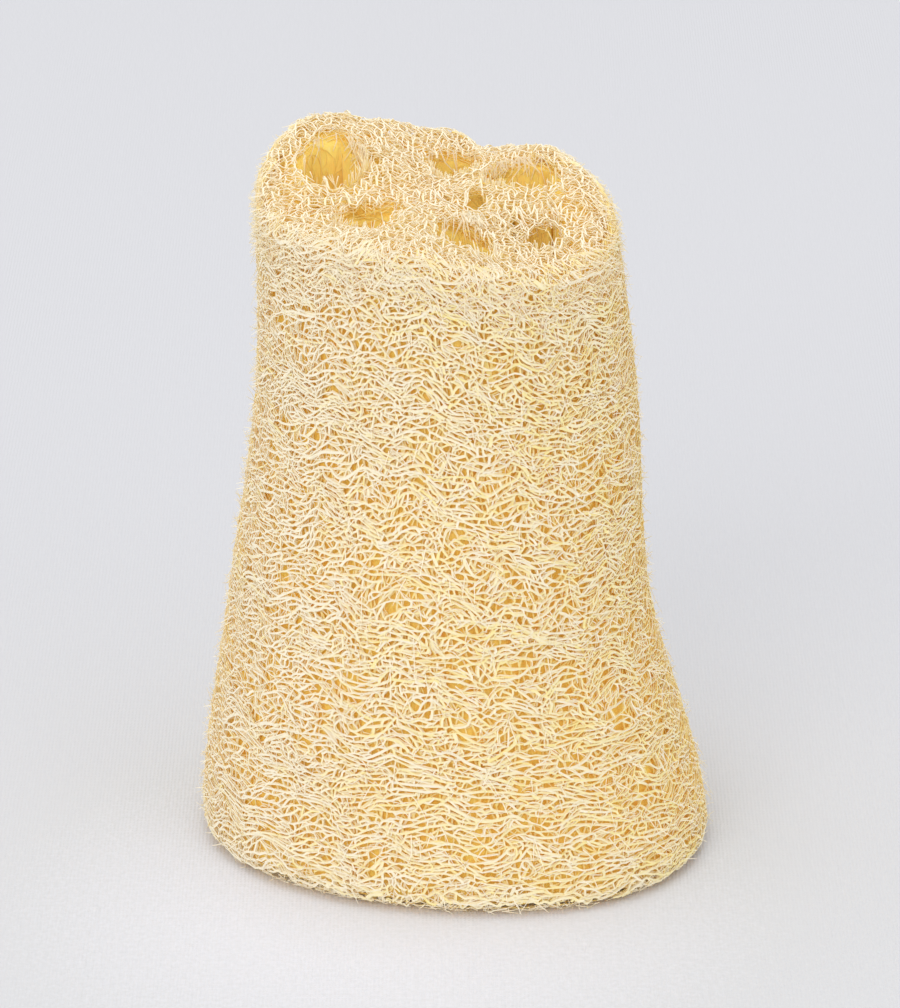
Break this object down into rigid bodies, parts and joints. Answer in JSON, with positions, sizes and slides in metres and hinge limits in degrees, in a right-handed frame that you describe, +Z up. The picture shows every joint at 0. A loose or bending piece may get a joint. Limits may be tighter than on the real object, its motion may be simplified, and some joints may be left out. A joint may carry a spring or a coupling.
{
  "type": "natural loofah",
  "caption": "Cut length of dried luffa fibre skeleton for scrubbing skin: netted outside, thick wall, core, septa and open lengthwise seed channels.",
  "frame": {"origin": "centre of the outline at the foot, on the surface the loofah stands on", "axes": "+Z up along the fruit's length, +X the loofah's right and +Y its back as pictured"},
  "size_m": [0.1007, 0.0947, 0.1407],
  "materials": {
    "cream_cords": "matt dry plant fibre, pale cream",
    "straw_mat": "matt dry plant fibre, straw",
    "golden_threads": "slightly silky dry plant fibre, golden"
  },
  "bodies": {
    "root": {"outer_net": "cream_cords", "wall_mat": "straw_mat", "core": "straw_mat", "septum_right": "straw_mat", "partition_back": "straw_mat", "septum_back": "straw_mat", "partition_left": "straw_mat", "septum_front": "straw_mat", "partition_front": "straw_mat", "lining_back_right": "golden_threads", "lining_back": "golden_threads", "lining_back_left": "golden_threads", "lining_front_left": "golden_threads", "lining_front": "golden_threads", "lining_front_right": "golden_threads"}
  },
  "joints": []
}
